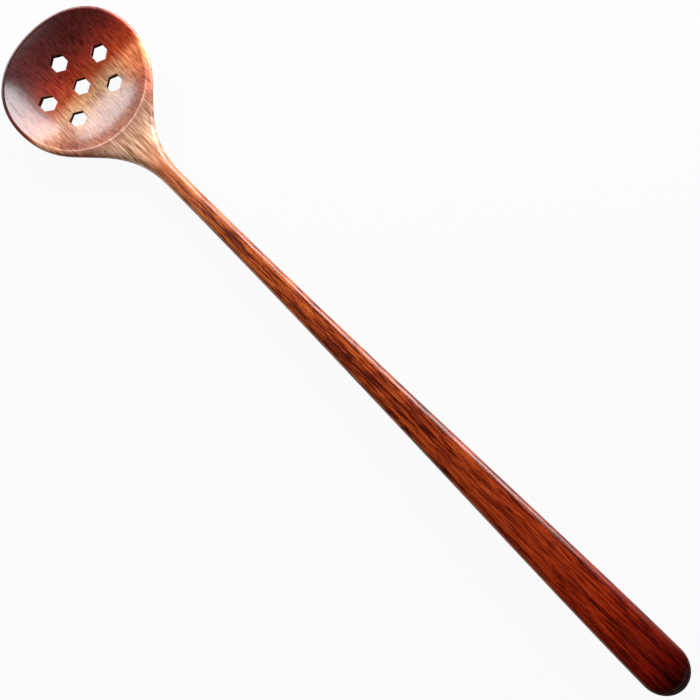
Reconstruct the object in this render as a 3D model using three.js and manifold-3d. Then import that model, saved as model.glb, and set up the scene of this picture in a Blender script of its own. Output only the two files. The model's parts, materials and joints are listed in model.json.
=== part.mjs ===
// A long-handled slotted spoon, carved in one piece from straight-grained wood.
// Millimetres, +Z up. The spoon is drawn in the frame of its rim: the rim lies in z = 0, the middle of the
// bowl is at the origin and the handle runs along +X. The finished piece is then tilted so that it rests
// on a small flat under its bowl and on the end of its handle, with the origin under the middle of its box.
import * as THREE from "three";
import { mergeVertices } from "three/addons/utils/BufferGeometryUtils.js";
import Module from "manifold-3d";

// Mouth of the bowl, seen from above
const mouthWidth = 63.4;
const mouthTip = 31.7; // middle of the bowl to the tip side of the mouth
const mouthNeck = 31.8; // middle of the bowl to the neck side of the mouth
const widestSetback = 2.15; // widest place, from the middle towards the tip
const tipBluntness = 0.607; // how long the outline holds its direction at the tip and at its widest place
const roundness = 0.5523; // the same for a quarter of an ellipse

// Wood round the mouth and under it
const rimWidth = 1.8; // mouth to the outside of the bowl
const rimEase = 0.6; // rounding of the rim's outer edge
const lipEase = 1; // radius of the mouth's edge
const hollowDepth = 11.5; // rim to the inside bottom
const bowlWall = 2.3; // thickness of the bottom
const bowlFullness = 2.2; // exponent of the bowl's section, inside and outside: more is flatter in the middle
const bowlBluffness = 1.3; // how upright the bowl's outside leaves the rim: 1 is a slant, as inside
const footDepth = 0.4; // wood sanded away under the bowl, so that the spoon doesn't roll

// Perforation: a hole in the middle, one nearer the tip, and a pair on each side of them
const holeFlats = 7; // across the flats of a hexagon
const holeSetback = 2.5; // middle hole, from the middle of the bowl towards the tip
const tipHoleReach = 14.4; // from the middle hole
const sideHoleReach = 16.3;
const sideHoleAngle = 75; // degrees from the direction of the tip
const neckHoleReach = 15.6;
const neckHoleAngle = 135;

// Neck and handle, seen from above
const shoulderPull = 33.4; // how far the side holds the bowl's direction past its widest place
const neckPull = 35.3; // how far it holds the neck's direction before the slimmest place
const neckLength = 32.1; // neck side of the mouth to the slimmest place
const neckWidth = 8;
const handleLength = 298.8; // slimmest place to the widest
const handlePull = 111.7; // how far the side stays slim
const gripPull = 50.8; // how far the side keeps its full width
const gripWidth = 20;
const endLength = 11.5; // widest place to the end

// Neck and handle, seen from the side
const levelLength = 5.8; // how far the top stays level past the mouth
const handleRise = 32; // end of the top above the rim
const risePull = 52; // length of the sweep at the neck
const gripRun = 215; // length of the straighter stretch at the grip
const gripSlope = 3.2; // degrees, at the end
const neckThickness = 8.6;
const gripThickness = 10.6;
const keelBlend = 5; // rounding where the bowl's underside runs into the neck's
const crownShare = 0.92; // share of the handle's half width that its rounded top takes up
const roundFullness = 2; // exponent of an edge's section: 2 is a quarter of an ellipse, more is flatter
const neckFullness = 2.7; // the same for the top of the neck
const gripFullness = 4.4; // and of the grip
const edgeShare = 0.48; // depth of the handle's widest line, as a share of its thickness
const handleFullness = 2.3; // exponent of the handle's lower section

// Facets
const tipSteps = 18;
const shoulderSteps = 26;
const handleSteps = 24;
const endSteps = 8;
const edgeSteps = 6;
const flatSteps = 3;
const lowerSteps = 9;
const mouthSteps = 20;
const lipSteps = 3;
const hollowSteps = 12;
const cutOver = 6; // how far a cutter reaches past the wood

// Working values
const weld = 1e-4; // points nearer than this are one
const halvings = 40; // of a range that is searched by halves
const steepestTilt = Math.PI / 6;

const mouthHalf = mouthWidth / 2;
const bowlHalf = mouthHalf + rimWidth;
const neckAt = mouthNeck + neckLength;
const gripAt = neckAt + handleLength;
const endAt = gripAt + endLength;
const { clamp, degToRad, lerp, smoothstep } = THREE.MathUtils;

const wasm = await Module();
wasm.setup();

// A closed three.js geometry as a solid that can be cut and joined.
function solidOf(geometry) {
  const bare = geometry.clone();
  bare.deleteAttribute("normal");
  bare.deleteAttribute("uv");
  const merged = mergeVertices(bare, weld);
  const corners = merged.index.array;
  const kept = [];
  for (let i = 0; i < corners.length; i += 3) {
    const [a, b, c] = corners.slice(i, i + 3);
    if (a !== b && b !== c && c !== a) kept.push(a, b, c);
  }
  const vertProperties = merged.attributes.position.array;
  const triVerts = new Uint32Array(kept);
  return new wasm.Manifold(new wasm.Mesh({ numProp: 3, vertProperties, triVerts }));
}

// A solid as a three.js geometry.
function geometryOf(solid) {
  const mesh = solid.getMesh();
  const geometry = new THREE.BufferGeometry();
  geometry.setAttribute("position", new THREE.BufferAttribute(mesh.vertProperties, 3));
  geometry.setIndex(new THREE.BufferAttribute(mesh.triVerts, 1));
  geometry.computeVertexNormals();
  return geometry;
}

// The larger of two values, with the corner between them rounded over a stretch.
function smoothMax(a, b, stretch) {
  const near = Math.max(stretch - Math.abs(a - b), 0) / stretch;
  return Math.max(a, b) + (near * near * stretch) / 4;
}

// How far a curved section has come to its full depth, at a share of its half width from its edge. With a
// bluffness of 1 it leaves the edge at a slant, as a dish does, and with more it leaves upright.
function swell(share, fullness, bluffness) {
  return Math.pow(Math.max(0, 1 - Math.pow(1 - share, fullness)), 1 / bluffness);
}

// Shares of a half width, from its edge inwards, close together at the edge.
function edgeShares(steps) {
  return Array.from({ length: steps + 1 }, (_, i) => 1 - Math.cos((Math.PI / 2) * (i / steps)));
}

// Where a curve in x and y, with x growing all along it, is at a given x.
function heightOn(curve, x) {
  let low = 0;
  let high = 1;
  for (let i = 0; i < halvings; i++) {
    const middle = (low + high) / 2;
    if (curve.getPoint(middle).x < x) low = middle;
    else high = middle;
  }
  return curve.getPoint(low).y;
}

// A quarter of a rounded outline, from the axis to the widest place.
function quarter(axisX, half, hold) {
  const run = axisX + widestSetback;
  return new THREE.CubicBezierCurve(
    new THREE.Vector2(axisX, 0),
    new THREE.Vector2(axisX, half * hold),
    new THREE.Vector2(run * hold - widestSetback, half),
    new THREE.Vector2(-widestSetback, half),
  );
}

// The half outline from the tip of the bowl to the end of the handle. Each curve also says where a line
// square to it, from one of its points, meets the spoon's axis. In the bowl that is the middle.
function halfOutline() {
  const tip = quarter(-mouthTip - rimWidth, bowlHalf, tipBluntness);
  const widest = tip.v3;
  const neck = new THREE.Vector2(neckAt, neckWidth / 2);
  const grip = new THREE.Vector2(gripAt, gripWidth / 2);
  const moved = (point, length) => new THREE.Vector2(point.x + length, point.y);
  const shoulder = new THREE.CubicBezierCurve(widest, moved(widest, shoulderPull), moved(neck, -neckPull), neck);
  const side = new THREE.CubicBezierCurve(neck, moved(neck, handlePull), moved(grip, -gripPull), grip);
  const end = new THREE.EllipseCurve(gripAt, 0, endLength, grip.y, Math.PI / 2, 0, true);
  const squareFoot = (edge, way) => edge.x + (edge.y * way.y) / way.x;
  const endShare = Math.max(0, 1 - (grip.y / endLength) ** 2);
  return [
    { curve: tip, steps: tipSteps, footOf: () => 0 },
    {
      curve: shoulder,
      steps: shoulderSteps,
      footOf: (edge, way) => smoothMax(squareFoot(edge, way), 0, widestSetback),
    },
    { curve: side, steps: handleSteps, footOf: squareFoot },
    { curve: end, steps: endSteps, footOf: (edge) => gripAt + (edge.x - gripAt) * endShare },
  ];
}

// The line of the top, seen from the side: level at the rim, then swept up along the handle.
function topLine() {
  const level = mouthNeck + levelLength;
  const drop = gripRun * Math.tan(degToRad(gripSlope));
  const sweep = new THREE.CubicBezierCurve(
    new THREE.Vector2(level, 0),
    new THREE.Vector2(level + risePull, 0),
    new THREE.Vector2(endAt - gripRun, handleRise - drop),
    new THREE.Vector2(endAt, handleRise),
  );
  return (x) => (x <= level ? 0 : heightOn(sweep, x));
}

// Points along a list of curves, each with the foot of its rib on the spoon's axis.
function ribsOf(curves) {
  const ribs = [];
  for (const { curve, steps, footOf } of curves) {
    for (let i = ribs.length ? 1 : 0; i <= steps; i++) {
      const edge = curve.getPointAt(i / steps);
      ribs.push({ edge, foot: footOf(edge, curve.getTangentAt(i / steps)) });
    }
  }
  ribs[0].edge.y = 0;
  ribs[ribs.length - 1].edge.y = 0;
  return ribs;
}

// The skin between rows of points on one side of the axis, and its mirror image on the other. Each row
// runs from the axis on top over the edge to the axis below.
function loft(rows) {
  const points = [];
  const corner = (k, j, side) => points.push(rows[k][j][0], side * rows[k][j][1], rows[k][j][2]);
  for (let k = 0; k + 1 < rows.length; k++) {
    for (let j = 0; j + 1 < rows[k].length; j++) {
      const quad = [[k, j], [k + 1, j], [k + 1, j + 1], [k, j], [k + 1, j + 1], [k, j + 1]];
      for (const [a, b] of quad) corner(a, b, 1);
      for (const [a, b] of quad.reverse()) corner(a, b, -1);
    }
  }
  const geometry = new THREE.BufferGeometry();
  geometry.setAttribute("position", new THREE.Float32BufferAttribute(points, 3));
  return geometry;
}

// The uncut spoon. Its ribs stand square to the outline, so that bowl, shoulder, handle and end are one
// smooth loft: flat on top with an eased edge at the bowl, rounded all over along the handle.
function blank() {
  const top = topLine();
  const outerDepth = hollowDepth + bowlWall;
  const alongHandle = (x) => clamp((x - neckAt) / handleLength, 0, 1);
  const thicknessAt = (x) => lerp(neckThickness, gripThickness, alongHandle(x));
  const depthAt = (x) => {
    const bowl = outerDepth * swell(1 - clamp(x / bowlHalf, 0, 1), bowlFullness, bowlBluffness);
    return smoothMax(bowl, thicknessAt(x), keelBlend);
  };
  const rows = ribsOf(halfOutline()).map(({ edge, foot }) => {
    const blend = smoothstep(foot, 0, neckAt);
    const depth = depthAt(foot);
    const up = lerp(rimEase, edgeShare * depth, blend);
    const length = Math.hypot(edge.x - foot, edge.y);
    const round = lerp(rimEase, crownShare * length, blend) / length;
    const crowning = lerp(roundFullness, lerp(neckFullness, gripFullness, alongHandle(foot)), blend);
    const fullness = lerp(bowlFullness, handleFullness, blend);
    const bluffness = lerp(bowlBluffness, handleFullness, blend);
    const point = (share, below) => {
      const x = lerp(edge.x, foot, share);
      return [x, edge.y * (1 - share), top(x) - below];
    };
    const flat = Array.from({ length: flatSteps }, (_, j) => point(lerp(1, round, j / flatSteps), 0));
    const crown = edgeShares(edgeSteps).slice(1).reverse();
    const lower = edgeShares(lowerSteps);
    return [
      ...flat,
      ...crown.map((share) => point(round * share, up * (1 - swell(share, crowning, crowning)))),
      ...lower.map((share) => point(share, lerp(up, depth, swell(share, fullness, bluffness)))),
    ];
  });
  return loft(rows);
}

// What is scooped out of the bowl, up through the rim. The lip is rounded down to the slant of the dish.
function hollow() {
  const tip = quarter(-mouthTip, mouthHalf, tipBluntness);
  const neck = quarter(mouthNeck, mouthHalf, roundness);
  const back = new THREE.CubicBezierCurve(neck.v3, neck.v2, neck.v1, neck.v0);
  const mouth = [tip, back].map((curve) => ({ curve, steps: mouthSteps, footOf: () => 0 }));
  const slant = Math.atan((bowlFullness * hollowDepth) / mouthHalf);
  const turns = Array.from({ length: lipSteps }, (_, i) => (slant * i) / lipSteps);
  const lip = turns.map((turn) => [lipEase * (Math.sin(slant) - Math.sin(turn)), lipEase * (Math.cos(turn) - 1)]);
  const lipDrop = lipEase * (1 - Math.cos(slant));
  const dish = edgeShares(hollowSteps).map((share) => [
    share,
    -lerp(lipDrop, hollowDepth, swell(share, bowlFullness, 1)),
  ]);
  const rows = ribsOf(mouth).map(({ edge }) => {
    const length = edge.length();
    const point = (out, z) => [edge.x * (1 + out / length), edge.y * (1 + out / length), z];
    return [
      [0, 0, cutOver],
      point(lip[0][0], cutOver),
      ...lip.map(([out, z]) => point(out, z)),
      ...dish.map(([share, z]) => point(-share * length, z)),
    ];
  });
  return loft(rows);
}

// One hexagonal hole, with two corners in line with the handle.
function hole(x, y) {
  const radius = holeFlats / Math.sqrt(3);
  const tall = hollowDepth + bowlWall + 2 * cutOver;
  const prism = new THREE.CylinderGeometry(radius, radius, tall, 6, 1, false, Math.PI / 2);
  return prism.rotateX(Math.PI / 2).translate(x, y, cutOver - tall / 2);
}

function carvedSpoon() {
  let wood = solidOf(blank()).subtract(solidOf(hollow()));
  const pierce = (reach, angle) => {
    const turn = degToRad(angle);
    const cutter = hole(-holeSetback - reach * Math.cos(turn), reach * Math.sin(turn));
    wood = wood.subtract(solidOf(cutter));
  };
  pierce(0, 0);
  pierce(tipHoleReach, 0);
  for (const side of [1, -1]) {
    pierce(sideHoleReach, side * sideHoleAngle);
    pierce(neckHoleReach, side * neckHoleAngle);
  }
  return geometryOf(wood);
}

// The lowest point of the bowl, or of the handle, when the spoon is tilted.
function lowest(geometry, tilt, ofBowl) {
  const position = geometry.attributes.position;
  let least = Infinity;
  for (let i = 0; i < position.count; i++) {
    const x = position.getX(i);
    if (x < neckAt !== ofBowl) continue;
    least = Math.min(least, position.getZ(i) * Math.cos(tilt) - x * Math.sin(tilt));
  }
  return least;
}

// The tilt at which the handle touches the table together with the sanded foot under the bowl.
function restTilt(geometry) {
  let low = 0;
  let high = steepestTilt;
  for (let i = 0; i < halvings; i++) {
    const middle = (low + high) / 2;
    const lift = lowest(geometry, middle, false) - lowest(geometry, middle, true);
    if (lift > footDepth) low = middle;
    else high = middle;
  }
  return low;
}

// What is sanded off under the bowl, level with the table.
function footCut(geometry, tilt) {
  const table = lowest(geometry, tilt, true) + footDepth;
  const block = new THREE.BoxGeometry(2 * neckAt, mouthWidth, cutOver);
  return block.translate(0, 0, table - cutOver / 2).rotateY(-tilt);
}

function part() {
  const lacqueredWood = new THREE.MeshStandardMaterial({ color: 0x8c4527, roughness: 0.32, metalness: 0 });
  const carved = carvedSpoon();
  const tilt = restTilt(carved);
  const rested = solidOf(carved).subtract(solidOf(footCut(carved, tilt)));
  const spoon = new THREE.Mesh(geometryOf(rested), lacqueredWood);
  spoon.name = "spoon";
  spoon.rotation.y = tilt;
  spoon.updateMatrixWorld(true);
  const box = new THREE.Box3().setFromObject(spoon, true);
  const middle = box.getCenter(new THREE.Vector3());
  spoon.position.set(-middle.x, -middle.y, -box.min.z);
  const group = new THREE.Group();
  group.add(spoon);
  return group;
}

export default part();
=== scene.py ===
# %% [markdown]
# # A carved slotted spoon
# The object is one long piece of wood: a shallow round bowl with six drain holes, a slim neck and a handle
# that widens into a rounded grip, all under a clear gloss lacquer. The solid part comes from a CAD frame, and
# this lesson gives it a finer skin and its finish. The frame is loaded first, and its box is kept, because the
# finished spoon has to stay inside it.

# %% Load the frame
import json
import math
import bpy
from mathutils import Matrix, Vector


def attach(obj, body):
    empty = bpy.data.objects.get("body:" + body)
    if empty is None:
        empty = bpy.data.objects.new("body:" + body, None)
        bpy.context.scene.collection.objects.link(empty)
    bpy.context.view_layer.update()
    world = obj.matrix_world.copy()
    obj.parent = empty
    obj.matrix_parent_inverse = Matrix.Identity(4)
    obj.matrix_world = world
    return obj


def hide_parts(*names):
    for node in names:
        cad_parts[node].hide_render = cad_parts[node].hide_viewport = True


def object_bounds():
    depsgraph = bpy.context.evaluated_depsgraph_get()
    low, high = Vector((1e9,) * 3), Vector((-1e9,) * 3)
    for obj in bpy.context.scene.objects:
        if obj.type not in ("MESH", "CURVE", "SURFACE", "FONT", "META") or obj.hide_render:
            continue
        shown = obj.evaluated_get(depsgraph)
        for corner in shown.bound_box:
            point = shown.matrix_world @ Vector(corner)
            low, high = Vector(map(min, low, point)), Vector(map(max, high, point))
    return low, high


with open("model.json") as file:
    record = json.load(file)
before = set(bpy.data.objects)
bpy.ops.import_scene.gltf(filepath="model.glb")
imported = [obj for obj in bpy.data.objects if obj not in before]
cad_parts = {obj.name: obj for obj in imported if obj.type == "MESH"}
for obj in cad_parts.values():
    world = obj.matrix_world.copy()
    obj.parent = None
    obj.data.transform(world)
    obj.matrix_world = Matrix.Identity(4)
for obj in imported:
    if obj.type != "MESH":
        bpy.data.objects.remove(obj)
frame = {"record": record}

from types import SimpleNamespace

import bpy
from mathutils import Matrix, Vector

cad_box = [list(corner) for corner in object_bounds()]
print("CAD box in metres:", [[round(value, 4) for value in corner] for corner in cad_box])

# %% [markdown]
# ## Arithmetic that builds nodes
# Geometry Nodes and shaders both take formulas as chains of Math nodes, which are slow to read. A small class
# stands for one socket and turns +, -, * and / into Math nodes, so that a formula in the script reads like one
# on paper. A second class holds the tree, and its one method adds any other node.

# %% A socket that can be calculated with
class Value:
    """One socket of a node tree. Arithmetic with it adds Math nodes to that tree."""

    def __init__(self, tree, socket):
        self.tree = tree
        self.socket = socket

    def __add__(self, other):
        return self.tree.math("ADD", self, other)

    def __sub__(self, other):
        return self.tree.math("SUBTRACT", self, other)

    def __rsub__(self, other):
        return self.tree.math("SUBTRACT", other, self)

    def __mul__(self, other):
        return self.tree.math("MULTIPLY", self, other)

    def __truediv__(self, other):
        return self.tree.math("DIVIDE", self, other)

    def __rtruediv__(self, other):
        return self.tree.math("DIVIDE", other, self)

    def __pow__(self, other):
        return self.tree.math("POWER", self, other)

    def __neg__(self):
        return self.tree.math("MULTIPLY", self, -1)

    __radd__ = __add__
    __rmul__ = __mul__

    def also(self, name):
        """Another output of the same node."""
        return Value(self.tree, pick(self.socket.node.outputs, name))

    def parts(self):
        """The three numbers of a vector."""
        x = self.tree.add("ShaderNodeSeparateXYZ", {}, {"Vector": self})
        return x, x.also("Y"), x.also("Z")


# %% A tree that can be added to
def pick(sockets, key):
    """The socket in use with this name, or at this place."""
    used = [socket for socket in sockets if socket.enabled]
    return used[key] if isinstance(key, int) else next(s for s in used if s.name == key)


class Tree:
    """A node tree being built."""

    def __init__(self, node_tree):
        node_tree.nodes.clear()
        self.nodes = node_tree.nodes
        self.links = node_tree.links

    def add(self, kind, settings, inputs, out=0):
        """Adds a node with its settings first, feeds its sockets and returns one of its outputs."""
        node = self.nodes.new(kind)
        for name, value in settings.items():
            if name == "stops":
                fill_ramp(node.color_ramp, value)
            else:
                setattr(node, name, value)
        for name, value in inputs.items():
            self.feed(pick(node.inputs, name), value)
        return Value(self, pick(node.outputs, out)) if len(node.outputs) else node

    def feed(self, socket, value):
        """Links a socket to a value, or to several, or sets it to plain numbers."""
        if isinstance(value, Value):
            self.links.new(value.socket, socket)
        elif isinstance(value, list):
            for one in value:
                self.links.new(one.socket, socket)
        else:
            socket.default_value = value

    def math(self, operation, *values):
        return self.add("ShaderNodeMath", {"operation": operation}, dict(enumerate(values)))

    def vector(self, x, y, z):
        return self.add("ShaderNodeCombineXYZ", {}, {"X": x, "Y": y, "Z": z})


def fill_ramp(ramp, stops):
    """Gives a colour ramp its stops, each a place and a colour."""
    while len(ramp.elements) < len(stops):
        ramp.elements.new(1)
    for element, (place, colour) in zip(ramp.elements, stops):
        element.position = place
        element.color = colour


# %% Formulas that the shapes share
def larger(a, b):
    return a.tree.math("MAXIMUM", a, b)


def within_one(a):
    return a.tree.math("MINIMUM", larger(a, 0), 1)


def between(a, b, share):
    return a + (b - a) * share


def eased_step(a, low, high):
    share = within_one((a - low) / (high - low))
    return share * share * (3 - 2 * share)


def smooth_larger(a, b, stretch):
    """The larger of two values, with the corner between them rounded over a stretch."""
    near = larger(stretch - a.tree.math("ABSOLUTE", a - b), 0) / stretch
    return larger(a, b) + near * near * stretch / 4


def swell(share, fullness, bluffness):
    """How far a curved section has come to its full depth, at a share of its half width from its edge.
    With a bluffness of 1 it leaves the edge at a slant, as a dish does, and with more it leaves upright."""
    return larger(1 - (1 - share) ** fullness, 0) ** (1 / bluffness)


def edge_share(step):
    """Steps of equal turn along a quarter round, as shares of its width from the edge."""
    return 1 - step.tree.math("COSINE", step * (math.pi / 2))


# %% [markdown]
# ## The spoon's sizes
# A carver works from a few sizes: the mouth of the bowl, its depth, the neck, the grip. They are the inputs of
# one Geometry Nodes tree, in millimetres, in the frame of the rim: the rim is level, the middle of the bowl is
# the origin and the handle runs along X. Counts of facets are kept apart, because they don't change the form.

# %% Sizes in millimetres
SIZES = dict(
    mouth_width=63.4, mouth_tip=31.7, mouth_neck=31.8, widest_setback=2.15, tip_bluntness=0.607,
    rim_width=1.8, rim_ease=1.1, lip_ease=1.0, hollow_depth=11.5, bowl_wall=2.3,
    bowl_fullness=2.2, bowl_bluffness=1.3,
    hole_flats=7.0, hole_ease=0.2, hole_setback=2.5, tip_hole_reach=14.4,
    side_hole_reach=16.3, side_hole_angle=75.0, neck_hole_reach=15.6, neck_hole_angle=135.0,
    shoulder_pull=33.4, neck_pull=35.3, neck_length=32.1, neck_width=8.0,
    handle_length=298.8, handle_pull=111.7, grip_pull=50.8, grip_width=20.0, end_length=11.5,
    level_length=5.8, handle_rise=32.0, rise_pull=52.0, grip_run=215.0, grip_slope=3.2,
    neck_thickness=8.6, grip_thickness=10.6, keel_blend=5.0,
    crown_share=0.92, edge_share=0.48,
    round_fullness=2.0, neck_fullness=2.7, grip_fullness=4.4, handle_fullness=2.3,
)
FACETS = SimpleNamespace(
    tip=72, shoulder=110, handle=150, end=40, mouth=96, curve=256,
    flat=4, crown=14, lower=30, cap=1, wall=1, lip=6, dish=44,
)
ROUNDNESS = 0.5523  # how long a Bezier curve holds its direction in a quarter of an ellipse
ABOVE = 80.0  # higher than any of the wood
CUT_OVER = 6.0  # how far a cutter reaches past the wood
print("Sizes that drive the form:", len(SIZES))

# %% [markdown]
# ## Outline and top line
# Seen from above, half the outline is four curves: the blunt tip, the shoulder that sweeps into the neck, the
# side of the handle and its rounded end. Seen from the side, the top stays level round the mouth and then
# sweeps up. Bezier segments hold these lines. The top line is pulled sideways into a ribbon, so that a plumb
# line dropped anywhere finds the height of the wood there.

# %% Curves
def bezier(tree, *points):
    """One Bezier segment through flat or spatial points, given as start, two handles and end."""
    spots = [tree.vector(*point, *[0] * (3 - len(point))) for point in points]
    names = ("Start", "Start Handle", "End Handle", "End")
    return tree.add(
        "GeometryNodeCurvePrimitiveBezierSegment",
        {"mode": "POSITION"},
        {"Resolution": FACETS.curve, **dict(zip(names, spots))},
    )


def blunt_quarter(size, axis_x, half, hold):
    """Points of a quarter of a rounded outline, from the spoon's axis to its widest place."""
    widest_x = -size.widest_setback
    run = axis_x - widest_x
    return [(axis_x, 0), (axis_x, half * hold), (widest_x + run * hold, half), (widest_x, half)]


def add_places(size):
    """Works out the places that several curves share."""
    size.mouth_half = size.mouth_width / 2
    size.bowl_half = size.mouth_half + size.rim_width
    size.neck_half = size.neck_width / 2
    size.grip_half = size.grip_width / 2
    size.neck_at = size.mouth_neck + size.neck_length
    size.grip_at = size.neck_at + size.handle_length
    size.end_at = size.grip_at + size.end_length
    size.level_at = size.mouth_neck + size.level_length


def top_ribbon(tree, size):
    """The handle's top line, pulled sideways into a ribbon."""
    slope = tree.math("TANGENT", size.grip_slope * (math.pi / 180))
    sweep = bezier(
        tree,
        (size.level_at, -ABOVE, 0),
        (size.level_at + size.rise_pull, -ABOVE, 0),
        (size.end_at - size.grip_run, -ABOVE, size.handle_rise - size.grip_run * slope),
        (size.end_at, -ABOVE, size.handle_rise),
    )
    wire = tree.add("GeometryNodeCurveToMesh", {}, {"Curve": sweep})
    sideways = tree.vector(0, 3 * ABOVE, 0)
    return tree.add("GeometryNodeExtrudeMesh", {"mode": "EDGES"}, {"Mesh": wire, "Offset": sideways})


def on_curve(tree, curve, share):
    """The place at a share of a curve's length."""
    return tree.add(
        "GeometryNodeSampleCurve", {"mode": "FACTOR"}, {"Curves": curve, "Factor": share}, "Position"
    )


def plumb(tree, target, x, y, upward):
    """Where a plumb line through x and y meets a surface, from below or from above."""
    start, way = (-ABOVE, 1) if upward else (ABOVE, -1)
    return tree.add(
        "GeometryNodeRaycast",
        {"data_type": "FLOAT"},
        {
            "Target Geometry": target,
            "Source Position": tree.vector(x, y, start),
            "Ray Direction": (0, 0, way),
            "Ray Length": 2 * ABOVE,
        },
        out="Hit Position",
    )


# %% [markdown]
# ## The uncut blank
# The blank could be sculpted, but its form follows a rule: at each point of the outline stands a rib, square to
# the outline and ending on the spoon's axis. A rib is flat on top with an eased edge at the bowl, and round all
# over along the handle. A grid of points takes its rows from the ribs and its columns from the way round each
# rib, and Set Position moves every point of the grid to its place.

# %% A grid whose points know their row and column
def lattice(tree, rows, columns):
    """A grid, how far each point is along its rows, and how far round from the top axis, to either side."""
    across = 2 * columns + 1
    grid = tree.add("GeometryNodeMeshGrid", {}, {"Vertices X": rows + 1, "Vertices Y": across})
    index = tree.add("GeometryNodeInputIndex", {}, {})
    row = tree.math("FLOOR", (index + 0.5) / across)
    column = index - row * across
    around = (column - columns) / columns
    return grid, row / rows, tree.math("ABSOLUTE", around), tree.math("SIGN", around)


def stages(turn, counts):
    """Splits the way round a rib into stretches, each running from 0 to 1 in turn."""
    total = sum(counts)
    start = 0
    shares = []
    for count in counts:
        shares.append(within_one((turn * total - start) / count))
        start += count
    return shares


def placed(tree, grid, x, y, z):
    return tree.add("GeometryNodeSetPosition", {}, {"Geometry": grid, "Position": tree.vector(x, y, z)})


def joined(tree, pieces):
    """Grids made one closed skin."""
    together = tree.add("GeometryNodeJoinGeometry", {}, {"Geometry": pieces})
    return tree.add("GeometryNodeMergeByDistance", {}, {"Geometry": together, "Distance": 1e-3})


# %% One stretch of ribs
def rib_strip(tree, size, ribbon, curve, rows, foot_of):
    """The skin over the ribs that stand on one curve of the outline."""
    grid, along, turn, side = lattice(tree, rows, FACETS.flat + FACETS.crown + FACETS.lower)
    flat, crown, lower = stages(turn, (FACETS.flat, FACETS.crown, FACETS.lower))
    edge = on_curve(tree, curve, along)
    edge_x, edge_y, _ = edge.parts()
    way_x, way_y, _ = edge.also("Tangent").parts()
    foot = foot_of(edge_x, edge_x + edge_y * way_y / way_x)
    blend = eased_step(foot, 0, size.neck_at)
    along_handle = within_one((foot - size.neck_at) / (size.grip_at - size.neck_at))
    thickness = between(size.neck_thickness, size.grip_thickness, along_handle)
    bowl_depth = (size.hollow_depth + size.bowl_wall) * swell(
        1 - within_one(foot / size.bowl_half), size.bowl_fullness, size.bowl_bluffness
    )
    depth = smooth_larger(bowl_depth, thickness, size.keel_blend)
    up = between(size.rim_ease, size.edge_share * depth, blend)
    length = tree.math("SQRT", (edge_x - foot) ** 2 + edge_y * edge_y)
    rounding = between(size.rim_ease, size.crown_share * length, blend) / length
    top_fullness = between(size.neck_fullness, size.grip_fullness, along_handle)
    crowning = between(size.round_fullness, top_fullness, blend)
    fullness = between(size.bowl_fullness, size.handle_fullness, blend)
    bluffness = between(size.bowl_bluffness, size.handle_fullness, blend)
    crown_share = edge_share(1 - crown)
    lower_share = edge_share(lower)
    share = between(1 + 0 * rounding, rounding, flat) * crown_share + lower_share
    rounded = up * (1 - swell(crown_share, crowning, crowning))
    below = rounded + (depth - up) * swell(lower_share, fullness, bluffness)
    x = between(edge_x, foot, share)
    last = tree.math("MINIMUM", x, size.end_at - 0.01)
    top = plumb(tree, ribbon, last, 0, upward=False).parts()[2]
    return placed(tree, grid, x, side * edge_y * (1 - share), top - below)


def blank(tree, size):
    """The uncut spoon."""
    ribbon = top_ribbon(tree, size)
    widest = (-size.widest_setback, size.bowl_half)
    neck = (size.neck_at, size.neck_half)
    grip = (size.grip_at, size.grip_half)
    end_share = larger(1 - (size.grip_half / size.end_length) ** 2, 0)
    tip_x = -size.mouth_tip - size.rim_width
    tip = bezier(tree, *blunt_quarter(size, tip_x, size.bowl_half, size.tip_bluntness))
    shoulder = bezier(
        tree,
        widest,
        (size.shoulder_pull - size.widest_setback, size.bowl_half),
        (size.neck_at - size.neck_pull, size.neck_half),
        neck,
    )
    handle = bezier(
        tree,
        neck,
        (size.neck_at + size.handle_pull, size.neck_half),
        (size.grip_at - size.grip_pull, size.grip_half),
        grip,
    )
    end = bezier(
        tree,
        grip,
        (size.grip_at + size.end_length * ROUNDNESS, size.grip_half),
        (size.end_at, size.grip_half * ROUNDNESS),
        (size.end_at, 0),
    )
    strips = [
        (tip, FACETS.tip, lambda edge_x, square: 0 * edge_x),
        (shoulder, FACETS.shoulder, lambda edge_x, square: smooth_larger(square, 0, size.widest_setback)),
        (handle, FACETS.handle, lambda edge_x, square: square),
        (end, FACETS.end, lambda edge_x, square: size.grip_at + (edge_x - size.grip_at) * end_share),
    ]
    return joined(tree, [rib_strip(tree, size, ribbon, *strip) for strip in strips])


# %% [markdown]
# ## What is cut away
# The hollow of the bowl is a second skin, with a rounded lip, and the wood is what is left when it is taken
# away. The holes repeat: six points, each with the same hexagonal cutter on it. A cutter leaves sharp edges that
# lacquer doesn't hold on, so a shallow cone, turned square to the surface, eases each hole on both sides.

# %% The hollow
def hollow_strip(tree, size, curve):
    """Half of what is scooped out, over one curve of the mouth."""
    counts = (FACETS.cap, FACETS.wall, FACETS.lip, FACETS.dish)
    grid, along, turn, side = lattice(tree, FACETS.mouth, sum(counts))
    cap, wall, lip, dish = stages(turn, counts)
    edge = on_curve(tree, curve, along)
    edge_x, edge_y, _ = edge.parts()
    length = tree.math("SQRT", edge_x * edge_x + edge_y * edge_y)
    slant = tree.math("ARCTANGENT", size.bowl_fullness * size.hollow_depth / size.mouth_half)
    lip_out = size.lip_ease * (tree.math("SINE", slant) - tree.math("SINE", slant * lip))
    lip_drop = size.lip_ease * (1 - tree.math("COSINE", slant * lip))
    dish_depth = size.hollow_depth - size.lip_ease * (1 - tree.math("COSINE", slant))
    dish_share = edge_share(dish)
    reach = (1 - dish_share + lip_out / length) * cap
    drop = lip_drop + dish_depth * swell(dish_share, size.bowl_fullness, 1)
    return placed(tree, grid, edge_x * reach, side * edge_y * reach, CUT_OVER * (1 - wall) - drop)


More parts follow.
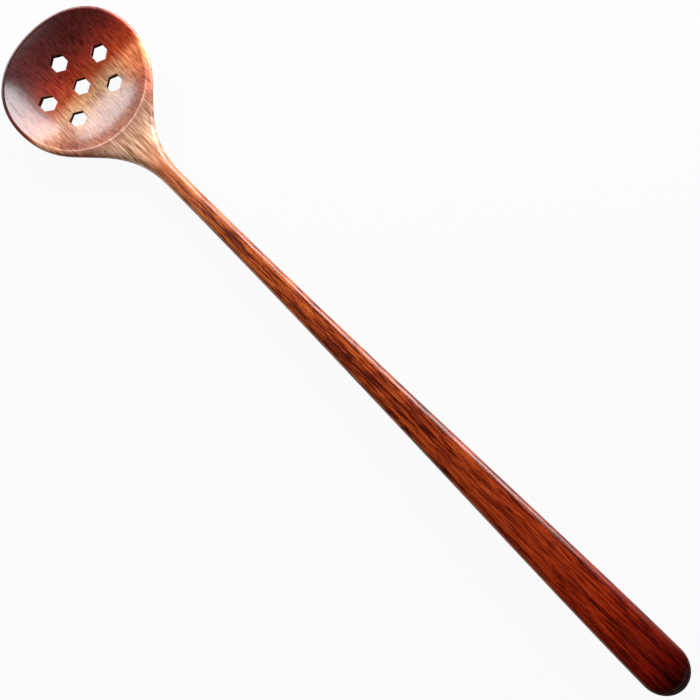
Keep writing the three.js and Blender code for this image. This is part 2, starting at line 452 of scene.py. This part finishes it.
def hollow(tree, size):
    """What is scooped out of the bowl, up through the rim."""
    tip = blunt_quarter(size, -size.mouth_tip, size.mouth_half, size.tip_bluntness)
    neck = blunt_quarter(size, size.mouth_neck, size.mouth_half, ROUNDNESS)
    curves = [bezier(tree, *tip), bezier(tree, *reversed(neck))]
    return joined(tree, [hollow_strip(tree, size, curve) for curve in curves])


# %% The holes
def hole_points(tree, size):
    """Six points over the bowl: two on the axis, then a pair beside the middle one and a pair behind it."""
    index = tree.add("GeometryNodeInputIndex", {}, {})
    pair = tree.math("FLOOR", (index + 0.5) / 2)
    second = index - 2 * pair
    on_axis, beside, behind = (tree.math("COMPARE", pair, number, 0.5) for number in range(3))
    axis_reach = on_axis * second * size.tip_hole_reach
    reach = axis_reach + beside * size.side_hole_reach + behind * size.neck_hole_reach
    angle = (beside * size.side_hole_angle + behind * size.neck_hole_angle) * (math.pi / 180)
    x = -size.hole_setback - reach * tree.math("COSINE", angle)
    y = reach * tree.math("SINE", angle) * (1 - 2 * second)
    return tree.add("GeometryNodePoints", {}, {"Count": 6, "Position": tree.vector(x, y, 0)})


def on_points(tree, points, shape, **inputs):
    copies = tree.add("GeometryNodeInstanceOnPoints", {}, {"Points": points, "Instance": shape, **inputs})
    return tree.add("GeometryNodeRealizeInstances", {}, {"Geometry": copies})


def hole_prisms(tree, size, points):
    """A hexagonal prism through the wood at each point, with two corners in line with the handle."""
    prism = tree.add(
        "GeometryNodeMeshCylinder",
        {"fill_type": "NGON"},
        {"Vertices": 6, "Radius": size.hole_flats / math.sqrt(3), "Depth": 2 * ABOVE},
    )
    prisms = on_points(tree, points, prism)
    return tree.add(
        "GeometryNodeStoreNamedAttribute",
        {"data_type": "FLOAT", "domain": "FACE"},
        {"Geometry": prisms, "Name": "drilled", "Value": 1.0},
    )


def hole_easings(tree, size, points, skin, outside):
    """A shallow cone at each hole, seated on a skin and turned square to it, that eases the hole's edge."""
    x, y, _ = tree.add("GeometryNodeInputPosition", {}, {}).parts()
    hit = plumb(tree, skin, x, y, upward=True)
    spots = tree.add("GeometryNodeSetPosition", {}, {"Geometry": points, "Position": hit})
    inward = hit.also("Hit Normal")
    upright = tree.add("ShaderNodeVectorMath", {"operation": "SCALE"}, {"Vector": inward, "Scale": -1})
    turn = tree.add("FunctionNodeAlignRotationToVector", {"axis": "Z"}, {"Vector": upright})
    proud = 1.0
    narrow = size.hole_flats / math.sqrt(3)
    wide = narrow + size.hole_ease + proud
    bottom, top, start = (wide, narrow, -proud) if outside else (narrow, wide, -size.hole_ease)
    cone = tree.add(
        "GeometryNodeMeshCone",
        {"fill_type": "NGON"},
        {"Vertices": 6, "Radius Bottom": bottom, "Radius Top": top, "Depth": size.hole_ease + proud},
    )
    seated = tree.add(
        "GeometryNodeTransform", {}, {"Geometry": cone, "Translation": tree.vector(0, 0, start)}
    )
    return on_points(tree, spots, seated, Rotation=turn)


# %% Cutting
def carved(tree, size):
    """The blank with the hollow, the holes and their easings taken away."""
    wood = blank(tree, size)
    scoop = hollow(tree, size)
    points = hole_points(tree, size)
    cutters = [
        scoop,
        hole_prisms(tree, size, points),
        hole_easings(tree, size, points, scoop, outside=False),
        hole_easings(tree, size, points, wood, outside=True),
    ]
    for cutter in cutters:
        wood = tree.add(
            "GeometryNodeMeshBoolean",
            {"operation": "DIFFERENCE", "solver": "MANIFOLD"},
            {"Mesh 1": wood, "Mesh 2": [cutter]},
        )
    return wood


# %% [markdown]
# ## Laying the spoon on the table
# The tree works with a level rim, but the spoon rests tilted, on its bowl and the end of its handle. The frame
# gives one point of the rim and the rim's direction, which is enough to turn and shift the wood into place.
# Under the bowl it is sanded flat where it lies on the table, so points below the table come up to it. The tree
# ends in Realize Instances and Set Material, so that nothing is lost when the result becomes a plain mesh.

# %% The tree and its inputs
MILLIMETRE = 0.001
RIM_POINT = 34.5  # where the frame's rim mount is, from the middle of the bowl
CREASE = math.radians(32)  # a steeper edge between two facets is a real one

rim = next(mount for mount in frame["record"]["mounts"] if mount["name"] == "rim")
tilt = math.atan2(rim["axis"][0], rim["axis"][2])
spot = Vector(rim["pos_m"]) - Matrix.Rotation(tilt, 3, "Y") @ Vector((RIM_POINT * MILLIMETRE, 0, 0))


def laid_down(tree, wood):
    """The wood in metres, resting on the table."""
    placed_wood = tree.add(
        "GeometryNodeTransform",
        {},
        {"Geometry": wood, "Translation": spot, "Rotation": (0, tilt, 0), "Scale": (MILLIMETRE,) * 3},
    )
    x, y, z = tree.add("GeometryNodeInputPosition", {}, {}).parts()
    return placed(tree, placed_wood, x, y, larger(z, 0))


def spoon_tree(material):
    """The Geometry Nodes tree of the whole spoon, with its sizes as inputs."""
    group = bpy.data.node_groups.new("carved_spoon", "GeometryNodeTree")
    tree = Tree(group)
    for name, value in SIZES.items():
        socket = group.interface.new_socket(name, in_out="INPUT", socket_type="NodeSocketFloat")
        socket.default_value = value
    group.interface.new_socket("Geometry", in_out="OUTPUT", socket_type="NodeSocketGeometry")
    first = tree.add("NodeGroupInput", {}, {})
    size = SimpleNamespace(**{name: first.also(name) for name in SIZES})
    add_places(size)
    wood = laid_down(tree, carved(tree, size))
    angle = tree.add("GeometryNodeInputMeshEdgeAngle", {}, {}, "Unsigned Angle")
    soft = tree.math("LESS_THAN", angle, CREASE)
    for domain, smooth in (("FACE", True), ("EDGE", soft)):
        wood = tree.add(
            "GeometryNodeSetShadeSmooth", {"domain": domain}, {"Geometry": wood, "Shade Smooth": smooth}
        )
    real = tree.add("GeometryNodeRealizeInstances", {}, {"Geometry": wood})
    done = tree.add("GeometryNodeSetMaterial", {}, {"Geometry": real, "Material": material})
    tree.add("NodeGroupOutput", {}, {"Geometry": done})
    return group


# %% [markdown]
# ## Grain
# The wood is a warm red-brown, open-pored hardwood with its grain along the handle. Its figure is made of long
# soft bands, fine fibres, short dark flecks and pores, and pale glints between them. It could come from a
# picture of wood, but a pattern in space is better on a carved piece: the grain then runs through the solid, and
# the bowl cuts across it as a gouge does. Each part of the figure is one noise, stretched along the grain and
# bent a little.

# %% Streaks of the figure
wood = bpy.data.materials.new("lacquered_wood")
wood.use_nodes = True
shade = Tree(wood.node_tree)
place = shade.add("ShaderNodeTexCoord", {}, {}, "Object")
PER_METRE = 1000  # millimetres in a metre
ON_EDGE = 0.4  # how densely streaks lie below one another, as a share of how they lie side by side


def grain_noise(spot, length, width, start, detail=2.0, roughness=0.5):
    """Noise in streaks of about this length and width, in millimetres, begun at its own place.
    The streaks are ribbons on edge, so that a slanting cut doesn't chop them short."""
    scale = (PER_METRE / length, PER_METRE / width, ON_EDGE * PER_METRE / width)
    stretched = shade.add(
        "ShaderNodeVectorMath",
        {"operation": "MULTIPLY_ADD"},
        {0: spot, 1: scale, 2: (start, 2 * start, 3 * start)},
    )
    return shade.add(
        "ShaderNodeTexNoise",
        {},
        {"Vector": stretched, "Scale": 1.0, "Detail": detail, "Roughness": roughness},
    )


sway = 0.0016 * (grain_noise(place, 40, 8, 61.3) - 0.5)
bent = shade.add("ShaderNodeVectorMath", {"operation": "ADD"}, {0: place, 1: shade.vector(0, sway, 0)})
bands = grain_noise(bent, 150, 4.0, 11.3)
fibres = grain_noise(bent, 16, 0.75, 4.7, detail=3.0, roughness=0.65)
strokes = grain_noise(bent, 4.5, 0.65, 83.2)
flecks = eased_step(grain_noise(bent, 7, 1.0, 27.1, detail=3.0, roughness=0.6), 0.53, 0.61)
glints = eased_step(grain_noise(bent, 10, 0.9, 41.9, detail=3.0, roughness=0.6), 0.52, 0.62)
crossing = shade.math("ABSOLUTE", grain_noise(bent, 30, 1.9, 53.1) - 0.5)
pores = 1 - eased_step(crossing, 0.01, 0.06)
patches = eased_step(grain_noise(bent, 26, 4.5, 7.9, detail=3.0), 0.48, 0.62)
print("Grain patterns:", len([node for node in shade.nodes if node.bl_idname == "ShaderNodeTexNoise"]))

# %% [markdown]
# ## Tones
# The spoon isn't one colour. It is dark at the tip, turns from red to amber across the bowl, is palest on the
# shoulder, and deepens again along the handle to a dark red end. The shoulder's paleness is partly the wood's
# own tone and partly painted sheen, and the near-black end is partly deeper red wood and partly painted shade
# where the end turns away from the light. A mask could be painted for each tone, but a ramp along the length
# is shorter to read and to change. In the bowl the tones lie in layers that dip with its depth, as growth rings
# do where a hollow is cut through them. The bowl's side walls are reddened, and the side walls and the rim by
# the neck have tints chosen to suit the photograph: painted shade on the wall that faces the lamp beside the
# bowl, painted light on the wall that faces away from it, and a painted sheen on the rim.

# %% Tones along the length
LAYER_DIP = 0.5  # how far along a layer moves for its depth below the rim
TONES = dict(
    tip=(-0.200, (0.06, 0.008, 0.008)),
    dark_red=(-0.187, (0.09, 0.012, 0.010)),
    red=(-0.1755, (0.225, 0.021, 0.009)),
    orange=(-0.169, (0.27, 0.04, 0.01)),
    amber=(-0.1625, (0.40, 0.19, 0.09)),
    inner_wall=(-0.1485, (0.18, 0.055, 0.033)),
    lip=(-0.140, (0.21, 0.065, 0.037)),
    # Partly the wood's own pale tone, partly painted sheen on the shoulder's flat top.
    shoulder=(-0.130, (0.50, 0.26, 0.16)),
    neck=(-0.112, (0.40, 0.11, 0.04)),
    slim=(-0.068, (0.26, 0.042, 0.005)),
    handle=(0.03, (0.235, 0.029, 0.004)),
    grip=(0.165, (0.185, 0.0095, 0.0012)),
    # The end and its end grain: partly deeper red wood, partly painted shade where the end turns away from the
    # light.
    end=(0.190, (0.10, 0.002, 0.0004)),
    end_grain=(0.203, (0.015, 0.001, 0.0005)),
)
along, across, height = place.parts()
tip_at, end_at = cad_box[0][0], cad_box[1][0]
below_rim = rim["pos_m"][2] - math.tan(tilt) * (along - rim["pos_m"][0]) - height
layer = along + LAYER_DIP * larger(below_rim, 0) * (1 - eased_step(along, -0.145, -0.135))
toned = shade.add(
    "ShaderNodeValToRGB",
    {"stops": [((x - tip_at) / (end_at - tip_at), (*tone, 1)) for x, tone in TONES.values()]},
    {"Fac": (layer - tip_at) / (end_at - tip_at)},
)
print("Tones from tip to end:", ", ".join(TONES))


# %% Tints, and painted light, shade and sheen, on the walls and rim of the bowl
def tinted(colour, tint, share):
    """A colour multiplied by a tint, as far as a share says."""
    return shade.add(
        "ShaderNodeMix",
        {"data_type": "RGBA", "blend_type": "MULTIPLY"},
        {"Factor": share, "A": colour, "B": tint},
        "Result",
    )


WALL_TINT = (1.35, 0.75, 0.6, 1)
# Painted shade: the -Y wall faces the lamp beside the bowl, and is darkened to offset that lamp's light.
RIGHT_WALL_PAINTED_SHADE = (0.48, 0.59, 0.72, 1)
# Painted light: the +Y wall faces away from that lamp, and is lightened.
LEFT_WALL_PAINTED_LIGHT = (1.5, 1.5, 1.5, 1)
# Painted sheen: the rim by the neck is paled towards white.
RIM_PAINTED_SHEEN = (1.7, 2.4, 2.7, 1)
in_bowl = 1 - eased_step(along, -0.15, -0.13)
by_walls = eased_step(shade.math("ABSOLUTE", across), 0.012, 0.026) * in_bowl
painted_shade_share = eased_step(-across, 0.010, 0.024) * in_bowl
painted_light_share = eased_step(across, 0.010, 0.024) * in_bowl
# Where the rim's painted sheen lies: the top of the rim on the neck side.
rim_sheen_share = (1 - eased_step(below_rim, 0.0003, 0.0012)) * in_bowl * eased_step(along, -0.168, -0.155)
reddened = tinted(toned, WALL_TINT, by_walls * eased_step(layer, -0.174, -0.166))
walls_with_painted_light = tinted(tinted(reddened, RIGHT_WALL_PAINTED_SHADE, painted_shade_share), LEFT_WALL_PAINTED_LIGHT, painted_light_share)
ground_with_painted_light = tinted(walls_with_painted_light, RIM_PAINTED_SHEEN, rim_sheen_share)

# %% Figure over the tones
by_neck = (1 - eased_step(along, -0.11, -0.07)) * (1 - in_bowl)
middle = eased_step(along, -0.06, 0.0) * (1 - eased_step(along, 0.05, 0.11))
figure = (
    2.4 * (fibres - 0.5)
    + 0.9 * (bands - 0.5)
    + 0.28 * glints
    - 0.22 * pores
    - 0.30 * flecks * (0.4 + 0.6 * middle)
    - 0.16 * patches * (0.2 + 0.8 * middle)
)
strength = 1 - 0.75 * in_bowl - 0.45 * by_neck
STREAKS = [
    (0.0, (0.2, 0.11, 0.1, 1)),
    (0.3, (0.52, 0.38, 0.36, 1)),
    (0.5, (1, 1, 1, 1)),
    (0.75, (1.5, 1.9, 2.0, 1)),
    (1.0, (2.0, 3.0, 3.2, 1)),
]
streak = shade.add(
    "ShaderNodeValToRGB",
    {"stops": STREAKS},
    {"Fac": 0.57 + figure * strength + in_bowl * (strokes - 0.5)},
)
grained = tinted(ground_with_painted_light, streak, 1.0)

# %% [markdown]
# ## Lacquer
# A clear lacquer lies over the wood. A mirror-smooth varnish would show sharp lamps, and this one shows soft
# gleams, so the shader's coat has some roughness, and the wood under it doesn't shine by itself. The coat is
# a little weaker over the flecks, weaker along the handle, as if rubbed by hands, and weakest on the end grain,
# which soaks it up. It is missing inside the holes, whose walls are painted nearly black as painted shade.

# %% Lacquered wood
drilled = shade.add("ShaderNodeAttribute", {"attribute_name": "drilled"}, {}, "Fac")
held = eased_step(along, -0.13, -0.09)
end_grain = eased_step(along, 0.188, 0.200)
coat = (1 - 0.25 * flecks) * (1 - drilled) * (1 - 0.35 * held) * (1 - 0.85 * end_grain)
# Painted shade: the walls of the holes are painted nearly black.
HOLE_PAINTED_SHADE = (0.012, 0.003, 0.002, 1)
painted_hole_shade = shade.add(
    "ShaderNodeMix",
    {"data_type": "RGBA"},
    {"Factor": 0.9 * drilled, "A": grained, "B": HOLE_PAINTED_SHADE},
)
relief = shade.add(
    "ShaderNodeBump",
    {},
    {"Strength": 0.03, "Distance": 0.0001, "Height": 0.5 * fibres - flecks},
)
lacquer = shade.add(
    "ShaderNodeBsdfPrincipled",
    {},
    {
        "Base Color": painted_hole_shade,
        "Roughness": 0.45 + 0.2 * (fibres - 0.5) + 0.1 * flecks,
        "Specular IOR Level": 0.0,
        "Coat Weight": coat,
        "Coat Roughness": 0.25,
        "Coat IOR": 1.6,
        "Normal": relief,
    },
)
shade.add("ShaderNodeOutputMaterial", {}, {"Surface": lacquer})

# %% [markdown]
# ## One solid piece
# A spoon like this is carved from a single billet, so it is one object here too. The modifier's inputs are set
# by their identifiers before the tree is first evaluated. The evaluated result becomes a plain mesh on the
# object itself, and the modifier goes, because later steps work on plain meshes.

# %% The carved spoon
def carve_spoon(material):
    """The spoon as a plain mesh, made by its tree."""
    start = bpy.data.objects.new("carved_spoon", bpy.data.meshes.new("carved_spoon"))
    bpy.context.scene.collection.objects.link(start)
    modifier = start.modifiers.new("carving", "NODES")
    group = spoon_tree(material)
    modifier.node_group = group
    for item in group.interface.items_tree:
        if item.in_out == "INPUT":
            modifier[item.identifier] = SIZES[item.name]
    evaluated = start.evaluated_get(bpy.context.evaluated_depsgraph_get())
    mesh = bpy.data.meshes.new_from_object(evaluated)
    start.modifiers.remove(modifier)
    mesh.name = "carved_spoon"
    start.data = mesh
    return start


spoon = carve_spoon(wood)
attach(spoon, "root")
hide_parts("spoon")
triangles = sum(len(face.vertices) - 2 for face in spoon.data.polygons)
print("Spoon:", len(spoon.data.vertices), "vertices,", triangles, "triangles")

# %% [markdown]
# ## Studio
# The spoon lies on white, as in a catalogue. Three large soft lamps stand round it: one beyond the tip, whose
# gleam lies on the bowl's wall by the neck, one beside the bowl, which brightens its other wall and the edge of
# the handle, and a weaker one beyond the grip. One bright sky would be simpler, but would veil the dark red
# evenly. The floor is white to the camera and in reflections, through its Light Path, and takes a faint shadow.

# %% Floor
def pale_floor():
    """A wide floor that looks white and still takes a shadow."""
    half = 3.0
    mesh = bpy.data.meshes.new("floor")
    corners = [(-half, -half, 0), (half, -half, 0), (half, half, 0), (-half, half, 0)]
    mesh.from_pydata(corners, [], [(0, 1, 2, 3)])
    floor = bpy.data.objects.new("floor", mesh)
    bpy.context.scene.collection.objects.link(floor)
    material = bpy.data.materials.new("pale_floor")
    material.use_nodes = True
    tree = Tree(material.node_tree)
    path = tree.add("ShaderNodeLightPath", {}, {}, "Is Camera Ray")
    seen = larger(larger(path, path.also("Is Glossy Ray")), path.also("Is Transmission Ray"))
    matte = tree.add("ShaderNodeBsdfDiffuse", {}, {"Color": (0.8, 0.8, 0.8, 1)})
    paper = 0.968  # just short of pure white
    white_share = 0.97  # the rest is matte and takes the shadow
    white = tree.add("ShaderNodeEmission", {}, {"Color": (paper, paper, paper, 1), "Strength": 1.0})
    mixed = tree.add("ShaderNodeMixShader", {}, {0: white_share * seen, 1: matte, 2: white})
    tree.add("ShaderNodeOutputMaterial", {}, {"Surface": mixed})
    mesh.materials.append(material)
    return floor


pale_floor()

# %% Lights
def soft_light(name, place, aim, width, depth, watts):
    """A rectangular lamp at a place, turned to face another."""
    lamp = bpy.data.lights.new(name, "AREA")
    lamp.shape = "RECTANGLE"
    lamp.size = width
    lamp.size_y = depth
    lamp.energy = watts
    light = bpy.data.objects.new(name, lamp)
    light.location = place
    light.rotation_euler = (Vector(aim) - Vector(place)).to_track_quat("-Z", "Y").to_euler()
    bpy.context.scene.collection.objects.link(light)


LAMPS = dict(
    beyond_the_tip=dict(place=(-0.70, 0, 0.33), aim=(-0.17, 0, 0), width=0.56, depth=0.42, watts=5.6),
    beside_the_bowl=dict(place=(-0.29, 0.40, 0.19), aim=(-0.29, 0, 0), width=0.56, depth=0.31, watts=6.2),
    beyond_the_grip=dict(place=(0.75, 0.12, 0.42), aim=(0.05, 0, 0), width=1.4, depth=0.5, watts=4.4),
)
for lamp_name, lamp_sizes in LAMPS.items():
    soft_light(lamp_name, **lamp_sizes)
print("Lamps:", ", ".join(LAMPS))

world = bpy.data.worlds.new("studio")
world.use_nodes = True
room = Tree(world.node_tree)
air = room.add("ShaderNodeBackground", {}, {"Color": (1, 1, 1, 1), "Strength": 0.02})
room.add("ShaderNodeOutputWorld", {}, {"Surface": air})
bpy.context.scene.world = world
bpy.context.scene.view_settings.view_transform = "Standard"

# %% [markdown]
# ## Camera
# The camera looks down at the spoon from the side of its grip, and the picture is turned so that the spoon lies
# across it from corner to corner. The lens is long, so the spoon hardly narrows with distance. The camera's own
# axes are worked out from its height angle and its turn, which is plainer than a chain of rotations.

# %% Camera at the photograph's angle
rise = math.radians(65.785)
turn = math.radians(45.011)
target = Vector((0.009655, 0.001388, 0.010))
distance = 1.05

back = Vector((math.cos(rise), 0, math.sin(rise)))
level_right = Vector((0, 1, 0))
level_up = Vector((-math.sin(rise), 0, math.cos(rise)))
right = math.cos(turn) * level_right - math.sin(turn) * level_up
up = math.sin(turn) * level_right + math.cos(turn) * level_up
lens = bpy.data.cameras.new("camera")
lens.sensor_width = 36
lens.lens = 132.96
camera = bpy.data.objects.new("camera", lens)
turned = Matrix((right, up, back)).transposed().to_4x4()
camera.matrix_world = Matrix.Translation(target + distance * back) @ turned
bpy.context.scene.collection.objects.link(camera)
bpy.context.scene.camera = camera
